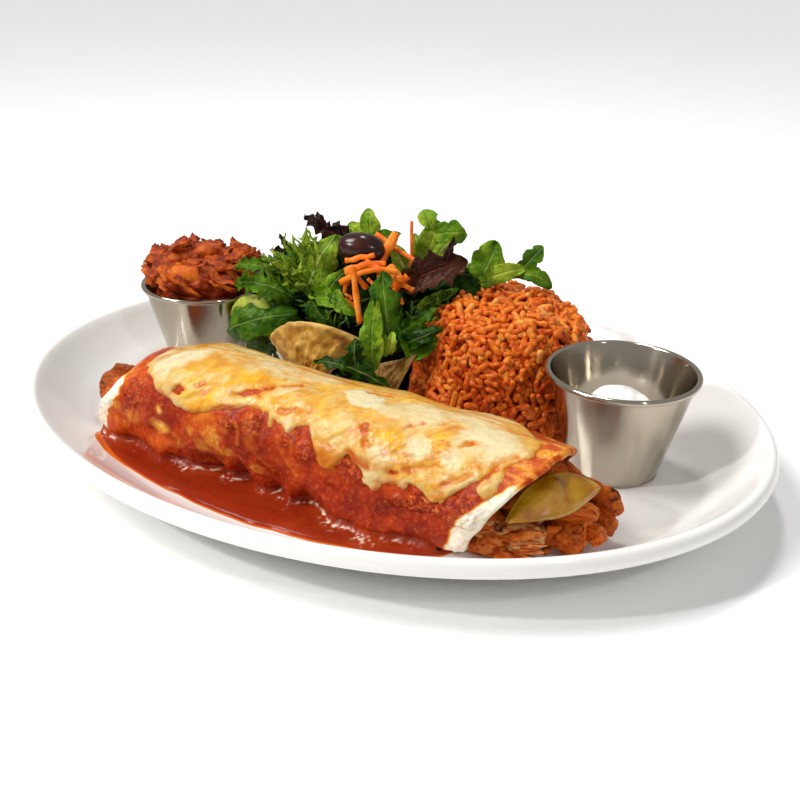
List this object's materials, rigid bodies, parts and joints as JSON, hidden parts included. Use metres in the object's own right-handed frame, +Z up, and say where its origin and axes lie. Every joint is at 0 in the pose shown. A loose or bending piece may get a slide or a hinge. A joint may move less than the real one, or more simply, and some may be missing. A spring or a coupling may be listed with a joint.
{
  "type": "plated chicken burrito meal on an oval platter",
  "caption": "Oval coupe platter with a sauced, cheese-topped chicken burrito, red rice, mixed salad, a steel cup heaped with beans and a steel cup of cream.",
  "frame": {"origin": "on the table under the centre of the platter", "axes": "+X along the platter's long axis toward the cup of cream, +Y from the burrito toward the salad, +Z up"},
  "size_m": [0.325, 0.2488, 0.0915],
  "materials": {
    "white_glaze": "glossy warm white glaze",
    "cup_steel": "satin spun steel with a bright rolled rim",
    "sauced_tortilla": "wet flour tortilla mottled with red sauce",
    "melted_cheese": "soft oily gloss, pale cream to yellow",
    "chile_sauce": "glossy opaque red sauce",
    "chicken": "moist red-brown fibres with charred edges",
    "cooked_pepper": "glossy translucent olive",
    "refried_beans": "moist rough mash with whole beans",
    "white_cream": "smooth thick cream",
    "red_rice": "moist separate grains",
    "green_leaf": "crisp ruffled lettuce with a few dark red leaves",
    "dark_olive": "smooth oily skin",
    "carrot": "fresh cut strips",
    "avocado": "soft satin flesh",
    "tortilla_chip": "dry fried corn with blisters"
  },
  "bodies": {
    "root": {"platter": "white_glaze", "tortilla": "sauced_tortilla", "filling": "chicken", "cheese": "melted_cheese", "sauce_pool": "chile_sauce", "chicken_front": "chicken", "chicken_middle": "chicken", "chicken_right": "chicken", "chicken_left": "chicken", "pepper_strip": "cooked_pepper", "cup_beans": "cup_steel", "beans": "refried_beans", "cup_cream": "cup_steel", "cream": "white_cream", "rice": "red_rice", "salad": "green_leaf", "olive": "dark_olive", "carrot_shreds": "carrot", "avocado_slice": "avocado", "chip_1": "tortilla_chip", "chip_2": "tortilla_chip"}
  },
  "joints": []
}
